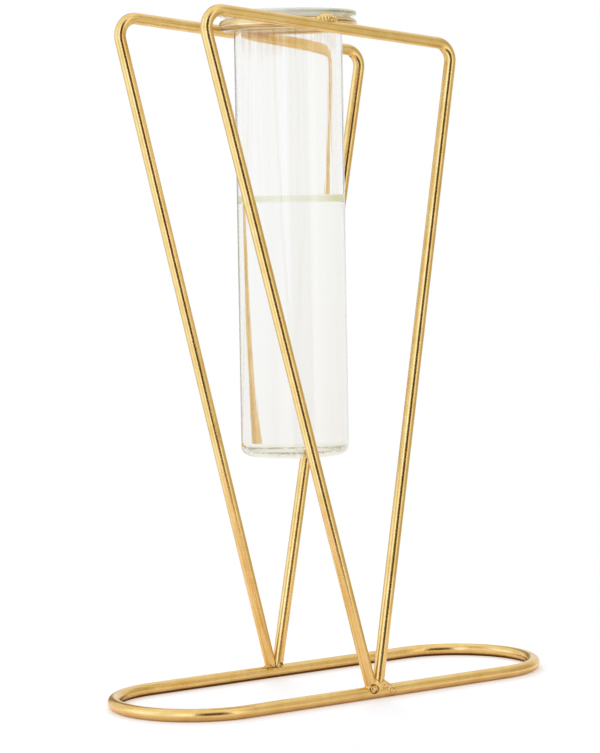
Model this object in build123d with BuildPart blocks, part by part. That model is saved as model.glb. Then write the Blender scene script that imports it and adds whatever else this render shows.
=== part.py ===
from build123d import *
import math
import os

os.makedirs("parts", exist_ok=True)

# Sizes of the test tube vase in millimetres.
# It stands on z = 0 with its length along X and its front at -Y.
overall_length = 174.8
overall_height = 235.0
base_depth = 62.0
overrun = 20.0

# Wires.
base_wire_r = 2.2
wire_r = 2.0
bend_r = 5.9

# The two triangular frames. Each meets the base wire at foot_x.
foot_x = -3.0
apex_depth = 4.4
bar_mid_x = -15.0
bar_half = 53.0
bar_drop = 5.4

# The test tube.
tube_x = -13.8
tube_r = 18.56
tube_wall = 2.1
tube_length = 152.2
tube_bottom_t = 2.5
tube_corner_r = 4.0
flare_r = 4.4
lip_t = 1.95
lip_reach = 3.94

# How the tube, its ring and the bars lie to each other.
ring_play = 1.14
seat_gap = 0.3
ring_rise = 1.85
weld_gap = 0.06

# Joint of the base wire's two ends, to the right of the front foot.
seam_offset = 6.0
seam_gap = 0.6

# Weld beads: half length along the wire, radius, and height above the wire's axis.
foot_weld_half = 5.2
foot_weld_rear_half = 4.2
foot_weld_r = 2.7
foot_weld_rise = 2.2
seam_weld_half = 2.2
seam_weld_r = 2.55
seam_weld_lift = 0.3
ring_weld_half = 3.7
ring_weld_r = 2.25
ring_weld_rise = 2.0
ring_weld_inset = 0.5
bead_round_share = 0.8

# The ring hangs the tube by its flare: the flare's underside is an arc around the ring's wire.
ring_r = tube_r + ring_play + wire_r
flare_x = tube_r + flare_r
seat_reach = flare_r - seat_gap - wire_r
flare_z = overall_height - lip_t - flare_r
ring_z = flare_z + math.sqrt(seat_reach**2 - (flare_x - ring_r) ** 2)
bar_z = ring_z - ring_rise

# The ring lies a little above the sloping bars and touches each one beside its own middle.
bar_slope = bar_drop / bar_half
touch = 2 * wire_r + weld_gap
rise_mid = ring_rise + bar_slope * (tube_x - bar_mid_x)
side_mid = math.sqrt(touch**2 - rise_mid**2)
touch_shift = bar_slope * rise_mid / (side_mid / ring_r + bar_slope**2)
rise_near = (rise_mid - bar_slope * touch_shift) / math.hypot(1, bar_slope)
side_near = math.sqrt(touch**2 - rise_near**2) - touch_shift**2 / (2 * ring_r)
bar_y = ring_r + side_near
touch_x = tube_x - touch_shift

# Each frame leans from the base wire's axis at its foot to the ring at its bar.
base_y = base_depth / 2 - base_wire_r
base_straight = overall_length / 2 - base_wire_r - base_y
frame_rise = bar_z - base_wire_r
lean = math.atan2(base_y - bar_y, frame_rise)
slant = math.hypot(base_y - bar_y, frame_rise)


def frame_plane(side):
    """Plane of one frame, with its origin on the base wire's axis at the foot."""
    normal = (0, -math.cos(lean), -side * math.sin(lean))
    return Plane(origin=(foot_x, side * base_y, base_wire_r), x_dir=(1, 0, 0), z_dir=normal)


def bead(centre, half, radius):
    """Rounded lump of weld metal that lies along a wire running in X."""
    with BuildPart() as lump:
        with BuildSketch(Plane(origin=centre, z_dir=(1, 0, 0))):
            Circle(radius)
        extrude(amount=half, both=True)
        fillet(lump.edges().filter_by(GeomType.CIRCLE), bead_round_share * radius)
    return lump.part


# The closed oval of the base wire, before its ends are parted. It shapes the wire frames' feet.
with BuildPart() as base_oval:
    with BuildLine(Plane.XY.offset(base_wire_r)) as oval_line:
        Line((-base_straight, -base_y), (base_straight, -base_y))
        CenterArc((base_straight, 0), base_y, -90, 180)
        Line((base_straight, base_y), (-base_straight, base_y))
        CenterArc((-base_straight, 0), base_y, 90, 180)
    oval_wire = oval_line.wire()
    with BuildSketch(Plane(origin=oval_wire @ 0, z_dir=oval_wire % 0)):
        Circle(base_wire_r)
    sweep(path=oval_wire)


# Base ring: one round wire bent into an oval that lies on the floor, its two ends butted.
seam_x = foot_x + seam_offset
with BuildPart() as base_ring:
    add(base_oval.part)
    with BuildSketch(Plane.YZ.offset(seam_x - seam_gap / 2)):
        with Locations((-base_y, base_wire_r)):
            Rectangle(base_y, 4 * base_wire_r)
    extrude(amount=seam_gap, mode=Mode.SUBTRACT)
base_ring.part.label = "base_ring"
export_step(base_ring.part, "parts/base_ring.step")


# Front and rear frames: one wire bent into a triangle with a sloping top bar.
# Both legs come down to the same place on the base wire and are saddled onto it.
left_corner = (bar_mid_x - foot_x - bar_half, slant + bar_drop)
right_corner = (bar_mid_x - foot_x + bar_half, slant - bar_drop)
bent_wires = {}
for frame_name, side in (("front_frame", -1), ("rear_frame", 1)):
    with BuildPart() as frame:
        for corner in (left_corner, right_corner):
            leg_x = corner[0] * apex_depth / (corner[1] + apex_depth)
            with BuildLine(frame_plane(side)) as leg_line:
                FilletPolyline((leg_x, 0), corner, (bar_mid_x - foot_x, slant), radius=bend_r)
            leg_wire = leg_line.wire()
            with BuildSketch(Plane(origin=leg_wire @ 0, z_dir=leg_wire % 0)):
                Circle(wire_r)
            sweep(path=leg_wire)
        bent_wires[side] = frame.part
        add(base_oval.part, mode=Mode.SUBTRACT)
    frame.part.label = frame_name
    export_step(frame.part, "parts/" + frame_name + ".step")


# Holder ring: a level ring of the same wire between the two bars, under the tube's flare.
with BuildPart() as holder_ring:
    with BuildSketch(Plane(origin=(tube_x, 0, ring_z), x_dir=(1, 0, 0), z_dir=(0, -1, 0))):
        with Locations((ring_r, 0)):
            Circle(wire_r)
    revolve(axis=Axis((tube_x, 0, 0), (0, 0, 1)))
holder_ring.part.label = "holder_ring"
export_step(holder_ring.part, "parts/holder_ring.step")


# Test tube: a glass tube with a flat bottom, rounded corners and a flared, thickened rim.
tube_foot = overall_height - tube_length
bore_r = tube_r - tube_wall
bore_floor = tube_foot + tube_bottom_t
bore_corner_r = tube_corner_r - tube_wall
lip_x = tube_r + lip_reach
lip_under = flare_z + math.sqrt(flare_r**2 - (flare_x - lip_x) ** 2)
lip_mid = (lip_under + overall_height) / 2
flare_turn = math.degrees(math.acos((flare_x - lip_x) / flare_r))
with BuildPart() as test_tube:
    with BuildSketch(Plane(origin=(tube_x, 0, 0), x_dir=(1, 0, 0), z_dir=(0, -1, 0))):
        with BuildLine():
            Line((0, tube_foot), (tube_r - tube_corner_r, tube_foot))
            CenterArc((tube_r - tube_corner_r, tube_foot + tube_corner_r), tube_corner_r, -90, 90)
            Line((tube_r, tube_foot + tube_corner_r), (tube_r, flare_z))
            CenterArc((flare_x, flare_z), flare_r, 180, -flare_turn)
            ThreePointArc(
                (lip_x, lip_under),
                (lip_x + (overall_height - lip_under) / 2, lip_mid),
                (lip_x, overall_height),
            )
            EllipticalCenterArc(
                (lip_x, flare_z), lip_x - bore_r, overall_height - flare_z, start_angle=90, arc_size=90
            )
            Line((bore_r, flare_z), (bore_r, bore_floor + bore_corner_r))
            CenterArc((bore_r - bore_corner_r, bore_floor + bore_corner_r), bore_corner_r, 0, -90)
            Line((bore_r - bore_corner_r, bore_floor), (0, bore_floor))
            Line((0, bore_floor), (0, tube_foot))
        make_face()
    revolve(axis=Axis((tube_x, 0, 0), (0, 0, 1)))
test_tube.part.label = "test_tube"
export_step(test_tube.part, "parts/test_tube.step")


# Foot welds: a lump of weld metal around the place where two legs stand on the base wire.
foot_beads = {}
foot_weld_z = base_wire_r + foot_weld_rise
for weld_name, side, half in (
    ("foot_weld_front", -1, foot_weld_half),
    ("foot_weld_rear", 1, foot_weld_rear_half),
):
    foot_beads[side] = bead((foot_x, side * base_y, foot_weld_z), half, foot_weld_r)
    with BuildPart() as foot_weld:
        add(foot_beads[side])
        add(base_oval.part, mode=Mode.SUBTRACT)
        add(bent_wires[side], mode=Mode.SUBTRACT)
    foot_weld.part.label = weld_name
    export_step(foot_weld.part, "parts/" + weld_name + ".step")


# Base seam weld: fills the gap between the base wire's ends and is ground flat just above the floor.
with BuildPart() as base_seam_weld:
    add(bead((seam_x, -base_y, base_wire_r), seam_weld_half, seam_weld_r))
    with BuildSketch(Plane.XY.offset(seam_weld_lift)):
        with Locations((seam_x, -base_y)):
            Rectangle(overrun, overrun)
    extrude(amount=-overrun, mode=Mode.SUBTRACT)
    add(base_ring.part, mode=Mode.SUBTRACT)
    add(foot_beads[-1], mode=Mode.SUBTRACT)
base_seam_weld.part.label = "base_seam_weld"
export_step(base_seam_weld.part, "parts/base_seam_weld.step")


# Ring welds: a lump on top of each bar where the holder ring touches it.
ring_weld_z = bar_z + bar_slope * (bar_mid_x - touch_x) + ring_weld_rise
for weld_name, side in (("ring_weld_front", -1), ("ring_weld_rear", 1)):
    with BuildPart() as ring_weld:
        add(bead((touch_x, side * (bar_y - ring_weld_inset), ring_weld_z), ring_weld_half, ring_weld_r))
        add(bent_wires[side], mode=Mode.SUBTRACT)
        add(holder_ring.part, mode=Mode.SUBTRACT)
    ring_weld.part.label = weld_name
    export_step(ring_weld.part, "parts/" + weld_name + ".step")
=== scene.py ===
from math import cos, hypot, pi, sin

import bmesh
import bpy
from mathutils import Matrix, Vector


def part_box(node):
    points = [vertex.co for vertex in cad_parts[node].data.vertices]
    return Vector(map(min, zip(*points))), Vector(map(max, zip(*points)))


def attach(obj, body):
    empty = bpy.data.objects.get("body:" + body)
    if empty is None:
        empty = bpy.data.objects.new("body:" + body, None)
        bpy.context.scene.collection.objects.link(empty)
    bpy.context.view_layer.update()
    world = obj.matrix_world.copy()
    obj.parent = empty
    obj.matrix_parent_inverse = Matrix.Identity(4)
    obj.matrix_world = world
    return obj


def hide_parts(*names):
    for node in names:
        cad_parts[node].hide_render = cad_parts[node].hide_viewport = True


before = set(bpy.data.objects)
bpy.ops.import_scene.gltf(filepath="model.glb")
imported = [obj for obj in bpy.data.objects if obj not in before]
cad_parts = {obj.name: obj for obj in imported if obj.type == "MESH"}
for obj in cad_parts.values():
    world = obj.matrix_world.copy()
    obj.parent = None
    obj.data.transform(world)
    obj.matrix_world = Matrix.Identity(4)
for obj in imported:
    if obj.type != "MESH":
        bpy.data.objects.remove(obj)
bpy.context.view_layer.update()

MM = 0.001


# Base ring. One round steel wire, 4.4 mm thick, bent into a long oval that lies flat on the table,
# and coated in satin gold. The coat is slightly sandy, and faint lines left by drawing the wire
# run along it.
def set_inputs(tree, made, inputs):
    """Gives each input of a node its value, or links another node's output to it."""
    for socket, value in inputs.items():
        if isinstance(value, bpy.types.NodeSocket):
            tree.links.new(value, made.inputs[socket])
        else:
            made.inputs[socket].default_value = value


def shader_node(tree, kind, inputs, **settings):
    """One node of a material, with its settings and inputs."""
    made = tree.nodes.new("ShaderNode" + kind)
    for setting, value in settings.items():
        setattr(made, setting, value)
    set_inputs(tree, made, inputs)
    return made


def maths(tree, operation, first, second=0.0):
    return shader_node(tree, "Math", {0: first, 1: second}, operation=operation).outputs["Value"]


def measured(tree, operation, first, second=(0, 0, 0)):
    """A number taken from vectors: a length, a distance or a dot product."""
    both = {0: first, 1: second}
    return shader_node(tree, "VectorMath", both, operation=operation).outputs["Value"]


def eased(tree, value, start, end, before=0.0, after=1.0):
    """Goes evenly from before to after while value goes from start to end, and no further."""
    return shader_node(tree, "MapRange", {
        "Value": value, "From Min": start, "From Max": end, "To Min": before, "To Max": after,
    }).outputs["Result"]


def noise(tree, place, scale, detail, roughness=0.5):
    return shader_node(tree, "TexNoise", {
        "Vector": place, "Scale": scale, "Detail": detail, "Roughness": roughness,
    }).outputs["Fac"]


def tinted(tree, share, stops):
    """A colour that runs through stops, each a place from 0 to 1 and its colour."""
    ramp = shader_node(tree, "ValToRGB", {"Fac": share})
    first, last = ramp.color_ramp.elements
    first.position, first.color = stops[0]
    last.position, last.color = stops[-1]
    for stop, colour in stops[1:-1]:
        ramp.color_ramp.elements.new(stop).color = colour
    return ramp.outputs["Color"]


def object_place(tree):
    return shader_node(tree, "TexCoord", {}).outputs["Object"]


def split(tree, place):
    return shader_node(tree, "SeparateXYZ", {"Vector": place}).outputs


def new_material(name):
    """A material, its node tree and the shader that is in it from the start."""
    material = bpy.data.materials.new(name)
    material.use_nodes = True
    tree = material.node_tree
    return material, tree, tree.nodes["Principled BSDF"]


GOLD = (0.74, 0.472, 0.14, 1)
PALE_GOLD = (0.88, 0.63, 0.26, 1)
WIRE_ROUGHNESS = 0.2
LESS_ROUGH, MORE_ROUGH = 0.05, 0.07
GRAIN_SCALE = 2300.0
GRAIN_DEPTH = 0.035 * MM
GRAIN_STRENGTH = 0.6
LINES_ACROSS = 2600.0
LINES_ALONG = 22.0
LINE_DEPTH = 0.02 * MM
LINE_STRENGTH = 0.35
CLOUD_SCALE = 160.0
GOLD_UP_TO, PALE_FROM = 0.36, 0.64


def gold_coat(
    name, wire_lines, gold=GOLD, pale_gold=PALE_GOLD, roughness=WIRE_ROUGHNESS,
    grain_depth=GRAIN_DEPTH, line_depth=LINE_DEPTH, line_share=0.5,
):
    """Satin gold with a sandy grain. wire_lines gives the place across and along the wire."""
    material, tree, shader = new_material(name)
    place = object_place(tree)
    drawn = noise(tree, wire_lines(tree, place), 1.0, 2.0)
    cloud = noise(tree, place, CLOUD_SCALE, 5.0, 0.6)
    grain = noise(tree, place, GRAIN_SCALE, 3.0, 0.7)
    from_lines = maths(tree, "MULTIPLY", drawn, line_share)
    from_cloud = maths(tree, "MULTIPLY", cloud, 1.0 - line_share)
    wear = maths(tree, "ADD", from_lines, from_cloud)
    sand = shader_node(tree, "Bump", {
        "Height": grain, "Strength": GRAIN_STRENGTH, "Distance": grain_depth,
    })
    scored = shader_node(tree, "Bump", {
        "Height": drawn, "Strength": LINE_STRENGTH, "Distance": line_depth,
        "Normal": sand.outputs["Normal"],
    })
    set_inputs(tree, shader, {
        "Metallic": 1.0,
        "Base Color": tinted(tree, wear, [(GOLD_UP_TO, gold), (PALE_FROM, pale_gold)]),
        "Roughness": eased(tree, grain, 0.3, 0.7, roughness - LESS_ROUGH, roughness + MORE_ROUGH),
        "Normal": scored.outputs["Normal"],
    })
    return material


def line_place(tree, sideways, upwards, along, across=LINES_ACROSS):
    """Where noise is taken for drawn lines: fine across the wire and long along it."""
    return shader_node(tree, "CombineXYZ", {
        "X": maths(tree, "MULTIPLY", sideways, across),
        "Y": maths(tree, "MULTIPLY", upwards, across),
        "Z": maths(tree, "MULTIPLY", along, LINES_ALONG),
    }).outputs["Vector"]


def oval_reach(tree, parts, middle_x, straight):
    """How far a place lies from the middle line of an oval, seen from above."""
    aside = maths(tree, "ABSOLUTE", maths(tree, "SUBTRACT", parts["X"], middle_x))
    past = maths(tree, "MAXIMUM", maths(tree, "SUBTRACT", aside, straight), 0.0)
    flat = shader_node(tree, "CombineXYZ", {"X": past, "Y": parts["Y"]}).outputs["Vector"]
    return measured(tree, "LENGTH", flat)


def oval_lines(middle_x, straight, across=LINES_ACROSS):
    """Lines that run round a level oval, whose straight sides are 2 * straight long."""
    def wire_lines(tree, place):
        parts = split(tree, place)
        reach = oval_reach(tree, parts, middle_x, straight)
        return line_place(tree, reach, parts["Z"], parts["X"], across)
    return wire_lines


def coat_node(node, material):
    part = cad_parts[node]
    part.data.materials.clear()
    part.data.materials.append(material)


base_low, base_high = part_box("base_ring")
base_wire_r = (base_high[2] - base_low[2]) / 2
base_y = base_high[1] - base_wire_r
base_straight = base_high[0] - base_wire_r - base_y
coat_node("base_ring", gold_coat("satin_gold_base", oval_lines(0.0, base_straight)))


# Front and rear frames. Each is one 4 mm wire bent at two corners into a tall triangle, whose
# two ends stand together on the base wire. The drawn lines follow the legs and the top bar.
foot_x = -3.0 * MM
apex = Vector((foot_x, -2.2 * MM))
left_corner = Vector((-68.0 * MM, 233.9 * MM))
right_corner = Vector((38.0 * MM, 223.1 * MM))
bar_y = 25.3 * MM
frame_lean = (base_y - bar_y) / (left_corner.y - base_wire_r)


def frame_lines(tree, place):
    """Lines that run along the nearest of a frame's three straight lengths."""
    parts = split(tree, place)
    nearest = None
    for start, end in ((apex, left_corner), (left_corner, right_corner), (right_corner, apex)):
        run = (end - start).normalized()
        square = Vector((-run.y, 0, run.x))
        shift = -(square.x * start.x + square.z * start.y)
        level = measured(tree, "DOT_PRODUCT", place, square)
        aside = maths(tree, "ABSOLUTE", maths(tree, "ADD", level, shift))
        nearest = aside if nearest is None else maths(tree, "MINIMUM", nearest, aside)
    from_middle = maths(tree, "ABSOLUTE", parts["Y"])
    upright = maths(tree, "ADD", from_middle, maths(tree, "MULTIPLY", parts["Z"], frame_lean))
    return line_place(tree, nearest, upright, maths(tree, "ADD", parts["X"], parts["Z"]))


frame_gold = gold_coat("satin_gold_frames", frame_lines)
coat_node("front_frame", frame_gold)
coat_node("rear_frame", frame_gold)


# Holder ring. A level ring of the same 4 mm wire, welded between the top bars, in which the glass
# hangs. Its coat shows coarser drawn lines than the other wires, painted dark and pale as painted
# reflection streaks.
tube_low, tube_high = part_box("test_tube")
tube_x = (tube_low[0] + tube_high[0]) / 2
RING_LINES_ACROSS = 1300.0
RING_LINE_DEPTH = 0.2 * MM
# Painted reflection: the ring's lines run between a painted dark gold and a painted pale gold.
RING_PAINTED_SHADE_GOLD = (0.46, 0.25, 0.06, 1)
RING_PAINTED_HIGHLIGHT_GOLD = (0.98, 0.76, 0.42, 1)
ring_gold_painted_streaks = gold_coat(
    "satin_gold_ring", oval_lines(tube_x, 0.0, RING_LINES_ACROSS), RING_PAINTED_SHADE_GOLD, RING_PAINTED_HIGHLIGHT_GOLD,
    line_depth=RING_LINE_DEPTH, line_share=0.95,
)
coat_node("holder_ring", ring_gold_painted_streaks)


# Weld lumps. Rough metal left by hand welding at the feet, the base wire's seam and the ring. Each
# is many drops run together, under the same gold coat, and the two at the feet have painted shade
# in dark broken lines round their hollows.
def rough_lines(tree, place):
    """The same in every direction, because weld metal isn't drawn."""
    return shader_node(
        tree, "VectorMath", {0: place, 1: (GRAIN_SCALE, GRAIN_SCALE, GRAIN_SCALE)},
        operation="MULTIPLY",
    ).outputs["Vector"]


weld_gold = gold_coat("rough_weld_gold", rough_lines, roughness=0.24, grain_depth=0.06 * MM)
front_foot = Vector((foot_x, -base_y, base_wire_r))
rear_foot = Vector((foot_x, base_y, base_wire_r))
PAINTED_HOLLOW_SHADE = (0.10, 0.055, 0.012, 1)
WAVER = 1.6 * MM
WAVER_SCALE = 900.0
GAP_SCALE = 620.0
GAPS_UP_TO, SHADE_PATCHES_FROM = 0.40, 0.52
LEFT_IN_GAPS = 0.12


def paint_hollow_shade(material, rings):
    """Painted shade lines, each a wavy, broken dark ring of some radius and width round a place in
    a hollow.
    """
    tree = material.node_tree
    shader = tree.nodes["Principled BSDF"]
    colour = shader.inputs["Base Color"].links[0].from_socket
    place = object_place(tree)
    shake = maths(tree, "SUBTRACT", noise(tree, place, WAVER_SCALE, 2.0), 0.5)
    waver = maths(tree, "MULTIPLY", shake, WAVER)
    hollow_shade = None
    for centre, radius, width in rings:
        wavy = maths(tree, "ADD", measured(tree, "DISTANCE", place, centre), waver)
        off = maths(tree, "ABSOLUTE", maths(tree, "SUBTRACT", wavy, radius))
        line = eased(tree, off, 0.4 * width, width, 1.0, 0.0)
        hollow_shade = line if hollow_shade is None else maths(tree, "MAXIMUM", hollow_shade, line)
    gaps = noise(tree, place, GAP_SCALE, 1.0)
    patches = eased(tree, gaps, GAPS_UP_TO, SHADE_PATCHES_FROM, LEFT_IN_GAPS, 1.0)
    dark = shader_node(tree, "MixRGB", {
        "Fac": maths(tree, "MULTIPLY", hollow_shade, patches), "Color1": colour, "Color2": PAINTED_HOLLOW_SHADE,
    })
    set_inputs(tree, shader, {"Base Color": dark.outputs["Color"]})


# Painted shade: dark broken rings in and round the hollows of both foot welds.
paint_hollow_shade(weld_gold, [
    (front_foot + Vector((-2.3, -2.6, 1.6)) * MM, 1.5 * MM, 0.28 * MM),
    (front_foot + Vector((1.2, -1.6, 4.4)) * MM, 0.9 * MM, 0.22 * MM),
    (rear_foot + Vector((0.9, -2.7, 2.4)) * MM, 0.6 * MM, 0.35 * MM),
    (rear_foot + Vector((-2.0, -2.2, 4.9)) * MM, 3.1 * MM, 0.3 * MM),
])
VOXEL = 0.16 * MM
RIPPLE_HEIGHT = 0.2 * MM
ripple = bpy.data.textures.new("weld_ripple", "CLOUDS")
ripple.noise_scale = 0.9 * MM


def piece_from(mesh, name):
    """Puts a finished bmesh into the scene as a piece."""
    data = bpy.data.meshes.new(name)
    mesh.to_mesh(data)
    mesh.free()
    piece = bpy.data.objects.new(name, data)
    bpy.context.collection.objects.link(piece)
    return piece


def weld_lump(node, centre, side, drops):
    """Drops of metal run together. Each has its place (along, outwards, up) and its half sizes."""
    mesh = bmesh.new()
    for (along, out, up), half in drops:
        spot = Matrix.Translation(centre + Vector((along, side * out, up)) * MM)
        size = Matrix.Diagonal((half[0] * MM, half[1] * MM, half[2] * MM, 1))
        bmesh.ops.create_icosphere(mesh, subdivisions=3, radius=1, matrix=spot @ size)
    lump = piece_from(mesh, node + "_metal")
    melt = lump.modifiers.new("melt", "REMESH")
    melt.mode = "VOXEL"
    melt.voxel_size = VOXEL
    melt.use_smooth_shade = True
    soften = lump.modifiers.new("soften", "SMOOTH")
    soften.factor = 0.5
    soften.iterations = 3
    rough = lump.modifiers.new("rough", "DISPLACE")
    rough.texture = ripple
    rough.texture_coords = "LOCAL"
    rough.strength = RIPPLE_HEIGHT
    lump.data.materials.append(weld_gold)
    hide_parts(node)
    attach(lump, "stand")


def crater(centre, radius, drop, turn, count=12):
    """A raised rim of small drops round a hollow that faces outwards, turned to one side."""
    rim = []
    for step in range(count):
        angle = 2 * pi * step / count
        along = radius * cos(angle)
        place = (
            centre[0] + along * cos(turn),
            centre[1] + along * sin(turn),
            centre[2] + radius * sin(angle),
        )
        rim.append((place, (drop, drop, drop)))
    return rim


weld_lump("foot_weld_front", front_foot, -1, [
    ((0.2, 0.0, 2.6), (3.4, 2.2, 2.4)),
    ((-2.2, 0.2, 1.6), (2.2, 2.1, 1.6)),
    ((2.2, 0.1, 3.4), (1.6, 2.0, 1.6)),
    ((3.2, 0.1, 2.2), (1.9, 2.2, 1.9)),
    ((4.2, 0.1, 1.9), (1.8, 2.1, 1.5)),
    ((5.4, 0.2, 0.5), (1.6, 2.4, 1.7)),
    ((1.7, 0.5, 4.0), (1.1, 1.6, 1.1)),
    ((-1.7, 1.2, 1.2), (2.3, 1.6, 1.7)),
    ((-3.5, 0.9, 0.7), (1.0, 1.2, 1.0)),
] + crater((-2.3, 2.2, 1.6), 1.3, 0.5, 0.4) + crater((1.2, 1.4, 4.4), 0.7, 0.3, 0.4, 8))

weld_lump("foot_weld_rear", rear_foot, 1, [
    ((-1.8, -0.3, 1.9), (2.9, 2.3, 0.9)),
    ((-2.6, -1.1, 2.3), (2.2, 1.6, 0.6)),
    ((1.9, 0.0, 1.7), (1.7, 1.9, 1.0)),
    ((0.2, 0.8, 2.4), (2.4, 1.5, 1.7)),
    ((2.6, 0.9, 1.3), (1.4, 1.5, 1.2)),
] + crater((0.9, -2.2, 2.4), 0.8, 0.36, -0.3, 10))

SEAM_AT = 6.0
SEAM_RIDGES = 3
SEAM_RIDGE_STEP = 0.7
weld_lump("base_seam_weld", front_foot, -1, [
    ((SEAM_AT, 0.0, 0.0), (1.5, 2.5, 2.1)),
    ((SEAM_AT + 0.9, 0.45, 0.3), (1.3, 2.2, 1.9)),
    ((SEAM_AT - 0.9, 0.5, 0.5), (1.2, 2.2, 1.9)),
] + [
    ((SEAM_AT + 1.6 + SEAM_RIDGE_STEP * ridge, 0.1, 0.1), (0.32, 2.25, 2.2))
    for ridge in range(SEAM_RIDGES)
])

RIDGES = 7
RIDGES_REACH = 3.4
RIDGES_TAPER = 0.28
RIDGES_SHIFT = 1.5 * MM
for weld, side in (("ring_weld_front", -1), ("ring_weld_rear", 1)):
    low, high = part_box(weld)
    out = side * (abs(low[1]) + abs(high[1])) / 2
    middle = Vector(((low[0] + high[0]) / 2 - RIDGES_SHIFT, out, low[2]))
    ridges = []
    for ridge in range(RIDGES):
        share = 2 * ridge / (RIDGES - 1) - 1
        swell = 1 - RIDGES_TAPER * share * share
        spot = (RIDGES_REACH * share, 0.0, 1.2 + 0.8 * swell)
        ridges.append((spot, (0.82, 2.1 * swell, 2.35 * swell)))
    weld_lump(weld, middle, side, ridges)


# Test tube. A clear glass tube with a flat bottom, and a rim that was flared outwards over the
# holder ring while hot. It is loose and hangs by the flare. Thick glass looks faintly olive.
tube_r = 18.56 * MM
glass_wall = 2.1 * MM
bore_r = tube_r - glass_wall
tube_foot = tube_low[2]
rim_top = tube_high[2]
floor_top = tube_foot + 1.5 * MM
lip_x = 22.5 * MM
lip_thick = 1.97 * MM
lip_round = lip_thick * 0.49
flare_r = 4.4 * MM
bottom_round = 3.2 * MM
bore_round = 1.2 * MM
mouth_round = 6.2 * MM
water_z = 170.8 * MM
band_low = water_z - 0.9 * MM
band_high = water_z + 1.6 * MM
SAME_PLACE = 0.01 * MM
TURN_STEPS = 160


def turned(name, profile, rounds):
    """A shape turned about the tube's axis from its outline, whose corners are rounded first."""
    mesh = bmesh.new()
    corners = [mesh.verts.new((tube_x + x, 0, z)) for x, z in profile]
    for start, end in zip(corners, corners[1:]):
        mesh.edges.new((start, end))
    for corner, size, segments in rounds:
        bmesh.ops.bevel(
            mesh, geom=[corners[corner]], offset=size, offset_type="OFFSET", segments=segments,
            profile=0.5, affect="VERTICES", material=-1,
        )
    bmesh.ops.spin(
        mesh, geom=mesh.verts[:] + mesh.edges[:], cent=(tube_x, 0, 0), axis=(0, 0, 1),
        angle=2 * pi, steps=TURN_STEPS, use_merge=True,
    )
    bmesh.ops.remove_doubles(mesh, verts=mesh.verts, dist=SAME_PLACE)
    bmesh.ops.recalc_face_normals(mesh, faces=mesh.faces)
    for face in mesh.faces:
        face.smooth = True
    piece = piece_from(mesh, name)
    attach(piece, "tube")
    return piece


TO_THE_RIGHT = (0.8, -0.6, 0)
LEVEL_SCALE = (45.0, 45.0, 1500.0)


def height(tree, place):
    return split(tree, place)["Z"]


def stretched_noise(tree, place, scale, detail):
    """Noise with its own scale along each axis."""
    stretched = shader_node(tree, "Mapping", {"Vector": place, "Scale": scale})
    return noise(tree, stretched.outputs["Vector"], 1.0, detail)


def across_tube(tree, place, half_width):
    """From -1 at the tube's left to 1 at its right, as it faces the front left."""
    from_axis = shader_node(
        tree, "VectorMath", {0: place, 1: (-tube_x, 0, 0)}, operation="ADD",
    ).outputs["Vector"]
    aside = measured(tree, "DOT_PRODUCT", from_axis, TO_THE_RIGHT)
    return maths(tree, "DIVIDE", aside, half_width)


def level_lines(tree, place, amount):
    """Fine level lines, like those inside a thick edge of glass, from -amount / 2 to amount / 2."""
    lines = stretched_noise(tree, place, LEVEL_SCALE, 1.0)
    return maths(tree, "MULTIPLY", maths(tree, "SUBTRACT", lines, 0.5), amount)


OLIVE_EDGE = 1.3 * MM
OLIVE_FADE = 600.0


def lip_tint_and_painted_shade(tree, place):
    """Thick glass is olive. It is deepest at the right, and this deeper olive is painted shade, a
    painted reflection of the dark side.
    """
    side = maths(tree, "MULTIPLY", maths(tree, "ADD", across_tube(tree, place, lip_x), 1.0), 0.5)
    depth = maths(tree, "SUBTRACT", rim_top, height(tree, place))
    lower = maths(tree, "MAXIMUM", maths(tree, "SUBTRACT", depth, OLIVE_EDGE), 0.0)
    upper = maths(tree, "SUBTRACT", side, maths(tree, "MULTIPLY", lower, OLIVE_FADE))
    return tinted(tree, maths(tree, "ADD", upper, level_lines(tree, place, 0.5)), [
        (0.0, (0.97, 0.97, 0.93, 1)),
        (0.55, (0.95, 0.945, 0.86, 1)),
        (0.72, (0.68, 0.645, 0.41, 1)),
        (0.87, (0.38, 0.37, 0.13, 1)),
        (1.0, (0.31, 0.31, 0.14, 1)),
    ])


def flare_tint_and_painted_streaks(tree, place):
    """Clear, with level lines where the glass was drawn out over the ring. Their warm tones are
    painted, streaks of the gold ring seen through the flare.
    """
    return tinted(tree, maths(tree, "ADD", level_lines(tree, place, 1.6), 0.5), [
        (0.0, (0.965, 0.968, 0.945, 1)),
        (0.55, (0.955, 0.955, 0.92, 1)),
        (0.72, (0.86, 0.80, 0.68, 1)),
        (1.0, (0.76, 0.68, 0.52, 1)),
    ])


def band_tint(tree, place):
    """The olive band of the water's edge, deepest at both sides of the tube."""
    side = maths(tree, "ABSOLUTE", across_tube(tree, place, bore_r))
    return tinted(tree, maths(tree, "ADD", side, level_lines(tree, place, 0.3)), [
        (0.0, (0.92, 0.925, 0.84, 1)),
        (0.5, (0.89, 0.89, 0.78, 1)),
        (0.88, (0.66, 0.62, 0.33, 1)),
        (1.0, (0.60, 0.58, 0.30, 1)),
    ])


FLOOR_LINE_AT = 0.25 * MM
FLOOR_LINE_CORE, FLOOR_LINE_EDGE = 0.1 * MM, 0.35 * MM
FLOOR_LINE_SHARE = 0.75
SPECK_SCALE = 700.0


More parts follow.
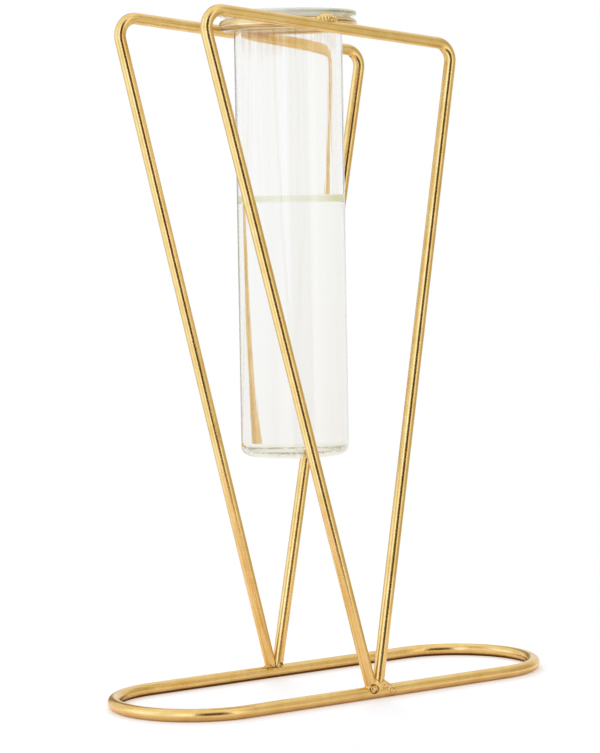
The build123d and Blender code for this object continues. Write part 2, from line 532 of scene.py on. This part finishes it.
def foot_tint(tree, place):
    """The olive floor of the tube, with a dark line of painted shade where it joins the wall,
    broken into specks.
    """
    above_floor = maths(tree, "SUBTRACT", height(tree, place), floor_top)
    off = maths(tree, "ABSOLUTE", maths(tree, "SUBTRACT", above_floor, FLOOR_LINE_AT))
    line = eased(tree, off, FLOOR_LINE_CORE, FLOOR_LINE_EDGE, FLOOR_LINE_SHARE, 0.0)
    specks = eased(tree, noise(tree, place, SPECK_SCALE, 3.0), 0.42, 0.62, 0.35, 1.3)
    return tinted(tree, maths(tree, "MULTIPLY", line, specks), [
        (0.0, (0.90, 0.89, 0.79, 1)),
        (0.5, (0.74, 0.72, 0.60, 1)),
        (1.0, (0.28, 0.26, 0.18, 1)),
    ])


STREAK_SCALE = (1500.0, 1500.0, 12.0)
STREAKS_FULL, STREAKS_FAINT = 9.0 * MM, 16.0 * MM
FAINT_SHARE = 0.08
RIGHT_SHARE = 0.4


def dry_tint_and_painted_streaks(tree, place):
    """Clear, with narrow upright streaks that are strongest under the flare and to the left. Their
    brownish tone is painted, the lines of the gold bar seen bent through the glass.
    """
    streaks = eased(tree, stretched_noise(tree, place, STREAK_SCALE, 1.0), 0.5, 0.66)
    depth = maths(tree, "SUBTRACT", rim_top, height(tree, place))
    near_flare = eased(tree, depth, STREAKS_FULL, STREAKS_FAINT, 1.0, FAINT_SHARE)
    to_the_left = eased(tree, across_tube(tree, place, tube_r), 0.0, 0.6, 1.0, RIGHT_SHARE)
    share = maths(tree, "MULTIPLY", maths(tree, "MULTIPLY", streaks, near_flare), to_the_left)
    return tinted(tree, share, [(0.0, (0.968, 0.967, 0.955, 1)), (1.0, (0.80, 0.73, 0.63, 1))])


def wet_tint(tree, place):
    """Through the water the glass looks a little warmer, most of all low down."""
    above_foot = maths(tree, "SUBTRACT", height(tree, place), tube_foot)
    return tinted(tree, maths(tree, "DIVIDE", above_foot, water_z - tube_foot), [
        (0.0, (0.935, 0.915, 0.885, 1)),
        (0.35, (0.945, 0.938, 0.915, 1)),
        (1.0, (0.955, 0.957, 0.945, 1)),
    ])


GLASS_IOR = 1.47
WATER_IOR = 1.37
FLARE_IOR = 1.14
STRAIGHT_IOR = 1.0
MOUTH_GLASS = (0.955, 0.958, 0.925, 1)
RIM_TOP_GLASS = (0.90, 0.91, 0.82, 1)
RIM_TOP_CLEAR = 0.45
UPRIGHT_WAVES = (700.0, 700.0, 5.0)
FAINT_WAVE = 0.03 * MM
DRY_WAVE = 0.06 * MM
FLARE_WAVE = 0.5 * MM


def clear_glass(name, ior, tint, wave_depth, clear=1.0):
    """Smooth glass with faint upright waves. Glass that doesn't bend light shines by its coat."""
    material, tree, shader = new_material(name)
    place = object_place(tree)
    waves = stretched_noise(tree, place, UPRIGHT_WAVES, 2.0)
    bump = shader_node(tree, "Bump", {"Height": waves, "Strength": 0.5, "Distance": wave_depth})
    set_inputs(tree, shader, {
        "Base Color": tint(tree, place) if callable(tint) else tint,
        "Roughness": 0.0,
        "IOR": ior,
        "Transmission Weight": clear,
        "Normal": bump.outputs["Normal"],
    })
    if ior == STRAIGHT_IOR:
        set_inputs(tree, shader, {"Coat Weight": 1.0, "Coat Roughness": 0.02})
    return material


glass_tube = turned(
    "glass_tube",
    [
        (0, tube_foot), (tube_r, tube_foot), (tube_r, rim_top - lip_thick),
        (lip_x + lip_thick / 2, rim_top - lip_thick), (lip_x + lip_thick / 2, rim_top),
        (bore_r, rim_top), (bore_r, band_high), (bore_r, band_low), (bore_r, floor_top),
        (0, floor_top),
    ],
    [
        (1, bottom_round, 12), (2, flare_r, 12), (3, lip_round, 6), (4, lip_round, 6),
        (5, mouth_round, 16), (8, bore_round, 6),
    ],
)
for glass in (
    clear_glass("clear_tube_glass", GLASS_IOR, dry_tint_and_painted_streaks, DRY_WAVE),
    clear_glass("wetted_tube_glass", GLASS_IOR / WATER_IOR, wet_tint, FAINT_WAVE),
    clear_glass("olive_lip_glass", STRAIGHT_IOR, lip_tint_and_painted_shade, FAINT_WAVE),
    clear_glass("flare_glass", FLARE_IOR, flare_tint_and_painted_streaks, FLARE_WAVE),
    clear_glass("tube_mouth_glass", STRAIGHT_IOR, MOUTH_GLASS, FAINT_WAVE),
    clear_glass("tube_foot_glass", STRAIGHT_IOR, foot_tint, FAINT_WAVE),
    clear_glass("water_band_glass", STRAIGHT_IOR, band_tint, FAINT_WAVE),
    clear_glass("rim_top_glass", STRAIGHT_IOR, RIM_TOP_GLASS, FAINT_WAVE, RIM_TOP_CLEAR),
):
    glass_tube.data.materials.append(glass)
DRY, WET, LIP, FLARE, MOUTH, FOOT, BAND, RIM_TOP = range(8)
LIP_WIDTH = 1.5 * MM
PAST_BORE = 0.3 * MM
FACES_UP = 0.3
for face in glass_tube.data.polygons:
    centre = face.center
    from_axis = hypot(centre.x - tube_x, centre.y)
    on_mouth = centre.z > rim_top - mouth_round and from_axis > bore_r + PAST_BORE
    on_bore = from_axis < bore_r + SAME_PLACE
    if on_mouth and face.normal.z > FACES_UP:
        face.material_index = RIM_TOP
    elif from_axis > lip_x - LIP_WIDTH:
        face.material_index = LIP
    elif centre.z > rim_top - lip_thick - flare_r:
        outward = face.normal.x * (centre.x - tube_x) + face.normal.y * centre.y
        face.material_index = FLARE if outward > 0 else MOUTH
    elif centre.z < tube_foot + bottom_round:
        face.material_index = FOOT
    elif on_bore and band_low < centre.z < band_high:
        face.material_index = BAND
    elif on_bore and centre.z < water_z:
        face.material_index = WET
    else:
        face.material_index = DRY
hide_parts("test_tube")


# Water. It fills the lower part of the tube and creeps up the glass in a thin curved edge, which
# shows as an olive band.
film = 0.02 * MM
water = turned(
    "water",
    [
        (0, floor_top + film), (bore_r - film, floor_top + film),
        (bore_r - film, water_z + 1.5 * MM), (bore_r - 0.7 * MM, water_z + 0.1 * MM),
        (bore_r - 3.0 * MM, water_z - 0.9 * MM), (0, water_z - 1.0 * MM),
    ],
    [(3, 0.8 * MM, 6), (4, 2.0 * MM, 6), (1, bore_round, 6)],
)
WHITE = (1, 1, 1, 1)
PALE_OLIVE = (0.95, 0.95, 0.89, 1)
SWELL_SCALE = 60.0
SWELL_HEIGHT = 0.05 * MM


def still_water(name, ior, tint):
    """Clear water with a very faint swell."""
    material, tree, shader = new_material(name)
    swell = noise(tree, object_place(tree), SWELL_SCALE, 1.0)
    bump = shader_node(tree, "Bump", {"Height": swell, "Strength": 0.2, "Distance": SWELL_HEIGHT})
    set_inputs(tree, shader, {
        "Base Color": tint, "Roughness": 0.0, "IOR": ior, "Transmission Weight": 1.0,
        "Normal": bump.outputs["Normal"],
    })
    return material


water_side, side_tree, side_shader = new_material("water_against_glass")
side_tree.nodes.remove(side_shader)
clear = shader_node(side_tree, "BsdfTransparent", {"Color": WHITE})
set_inputs(side_tree, side_tree.nodes["Material Output"], {"Surface": clear.outputs["BSDF"]})
water.data.materials.append(still_water("water_surface", WATER_IOR, WHITE))
water.data.materials.append(water_side)
water.data.materials.append(still_water("water_edge", STRAIGHT_IOR, PALE_OLIVE))
SURFACE, SIDE, EDGE = range(3)
SURFACE_DEPTH = 1.1 * MM
EDGE_WIDTH = 3.2 * MM
for face in water.data.polygons:
    centre = face.center
    upper = centre.z > water_z - SURFACE_DEPTH and face.normal.z > 0.05
    edge = hypot(centre.x - tube_x, centre.y) > bore_r - EDGE_WIDTH
    face.material_index = SIDE if not upper else EDGE if edge else SURFACE


# Table. A small round white studio top that carries the soft shadow of the vase. The wires mirror
# it in their lowest part, as a copy tinted warm for a painted warm bounce, with a painted shadow
# that is dark under the inner half of the base wire.
TABLE_R = 160.0 * MM
FADE_FROM, ALL_WHITE_FROM = 0.62 * TABLE_R, 0.97 * TABLE_R
PAINTED_SHADOW_UP_TO, OPEN_FROM = 2.15 * MM, 2.7 * MM
PAINTED_CONTACT_SHADOW = (0.30, 0.19, 0.09, 1)
MIRRORED_TABLE = (0.95, 0.85, 0.81, 1)
SHADOW_GLOW = (0.61, 0.44, 0.33, 1)
LIT_BY_LAMP = (0.38, 0.53, 0.62, 1)
table_mesh = bmesh.new()
bmesh.ops.create_circle(table_mesh, cap_ends=True, segments=96, radius=TABLE_R)
table = piece_from(table_mesh, "table")
paper, paper_tree, paper_shader = new_material("white_paper")
paper_tree.nodes.remove(paper_shader)
path = shader_node(paper_tree, "LightPath", {}).outputs
seen = maths(paper_tree, "MAXIMUM", path["Is Camera Ray"], path["Is Transmission Ray"])
glow = shader_node(paper_tree, "Emission", {"Color": SHADOW_GLOW, "Strength": 1.0})
lit = shader_node(paper_tree, "BsdfDiffuse", {"Color": LIT_BY_LAMP})
shadowed = shader_node(
    paper_tree, "AddShader", {0: glow.outputs["Emission"], 1: lit.outputs["BSDF"]},
)
white_light = shader_node(paper_tree, "Emission", {"Color": WHITE, "Strength": 1.0})
spot = object_place(paper_tree)
fade = eased(paper_tree, measured(paper_tree, "LENGTH", spot), FADE_FROM, ALL_WHITE_FROM)
looked_at = shader_node(paper_tree, "MixShader", {
    "Fac": fade, 1: shadowed.outputs["Shader"], 2: white_light.outputs["Emission"],
})
# Painted shadow for the wires' reflections: dark within a few millimetres inside the base wire's
# oval.
from_middle = oval_reach(paper_tree, split(paper_tree, spot), 0.0, base_straight)
inside_wire = maths(paper_tree, "SUBTRACT", base_y, from_middle)
outside = maths(paper_tree, "LESS_THAN", inside_wire, 0.0)
inside = eased(paper_tree, inside_wire, PAINTED_SHADOW_UP_TO, OPEN_FROM)
open_table = maths(paper_tree, "MAXIMUM", inside, outside)
mirrored_tone_and_painted_shadow = tinted(paper_tree, open_table, [(0.0, PAINTED_CONTACT_SHADOW), (1.0, MIRRORED_TABLE)])
mirrored_table = shader_node(paper_tree, "BsdfDiffuse", {"Color": mirrored_tone_and_painted_shadow})
choice = shader_node(paper_tree, "MixShader", {
    "Fac": seen, 1: mirrored_table.outputs["BSDF"], 2: looked_at.outputs["Shader"],
})
set_inputs(paper_tree, paper_tree.nodes["Material Output"], {"Surface": choice.outputs["Shader"]})
table.data.materials.append(paper)


# Studio. White wherever it is looked at straight or through the glass. The metal mirrors pale, cool
# panels, a dim warm gap in front between two bright strips, a shaded right and a faint gap behind.
# One lamp behind the vase, which nothing mirrors, throws its soft shadow forward.
WALL = (0.93, 0.93, 0.93, 1)
PANEL = (1.22, 1.40, 1.75, 1)
SOFT = (0.98, 1.05, 1.17, 1)
GLINT = (1.55, 1.80, 2.30, 1)
GAP = (0.08, 0.05, 0.018, 1)
RIGHT_GLINT = (1.50, 1.50, 1.60, 1)
RIGHT_PANEL = (0.95, 0.95, 0.94, 1)
SHADE = (0.60, 0.57, 0.48, 1)
BACK_GAP = (0.34, 0.27, 0.16, 1)
CEILING = (1.08, 1.10, 1.15, 1)
CEILING_FROM, CEILING_TO = 0.55, 0.85
studio = bpy.data.worlds.new("studio")
bpy.context.scene.world = studio
studio.use_nodes = True
sky = studio.node_tree
sky.nodes.clear()
way = split(sky, shader_node(sky, "TexCoord", {}).outputs["Generated"])
bearing = maths(sky, "ARCTAN2", way["X"], maths(sky, "MULTIPLY", way["Y"], -1.0))
turn = maths(sky, "ADD", maths(sky, "DIVIDE", bearing, 2 * pi), 0.5)
walls = tinted(sky, turn, [(degrees / 360 + 0.5, colour) for degrees, colour in (
    (-180, WALL), (-150, WALL), (-136, PANEL), (-100, PANEL), (-90, SOFT), (-76, SOFT),
    (-64, PANEL), (-50, GLINT), (-43, GLINT), (-36, GAP), (3, GAP), (9, RIGHT_GLINT),
    (16, RIGHT_GLINT), (28, RIGHT_PANEL), (48, SHADE), (88, SHADE), (108, WALL), (148, WALL),
    (153, BACK_GAP), (167, BACK_GAP), (173, WALL), (180, WALL),
)])
room = shader_node(sky, "MixRGB", {
    "Fac": eased(sky, way["Z"], CEILING_FROM, CEILING_TO), "Color1": walls, "Color2": CEILING,
})
rays = shader_node(sky, "LightPath", {}).outputs
through = maths(sky, "GREATER_THAN", rays["Transmission Depth"], 0.5)
seen_white = maths(sky, "MAXIMUM", rays["Is Camera Ray"], through)
mirrored_room = shader_node(sky, "Background", {"Color": room.outputs["Color"]})
plain_white = shader_node(sky, "Background", {"Color": WHITE})
meet = shader_node(sky, "MixShader", {
    "Fac": seen_white,
    1: mirrored_room.outputs["Background"],
    2: plain_white.outputs["Background"],
})
shader_node(sky, "OutputWorld", {"Surface": meet.outputs["Shader"]})

LAMP_WIDTH = 0.45
LAMP_WATTS = 6
LAMP_PLACE = (0.45, 0.95, 0.75)
lamp = bpy.data.lights.new("back_panel", "AREA")
lamp.size = LAMP_WIDTH
lamp.energy = LAMP_WATTS
panel = bpy.data.objects.new("back_panel", lamp)
panel.location = LAMP_PLACE
panel.rotation_euler = (-panel.location).to_track_quat("-Z", "Y").to_euler()
bpy.context.collection.objects.link(panel)
panel.visible_camera = False
panel.visible_glossy = False
panel.visible_transmission = False


# Camera. It stands about a metre away to the front left, at three quarters of the vase's height,
# and looks slightly down. All its values were solved from the photograph.
yaw, pitch, roll = 0.64601, -0.06783, 0.01706
eye = (-0.61502, -0.80091, 0.17773)
lens = 139.03
view = bpy.data.cameras.new("photo_view")
view.lens = lens
view.clip_end = 20
camera = bpy.data.objects.new("photo_view", view)
bpy.context.collection.objects.link(camera)
camera.matrix_world = (
    Matrix.Translation(eye)
    @ Matrix.Rotation(-yaw, 4, "Z")
    @ Matrix.Rotation(pi / 2 + pitch, 4, "X")
    @ Matrix.Rotation(-roll, 4, "Z")
)
bpy.context.scene.camera = camera
bpy.context.scene.view_settings.view_transform = "Standard"
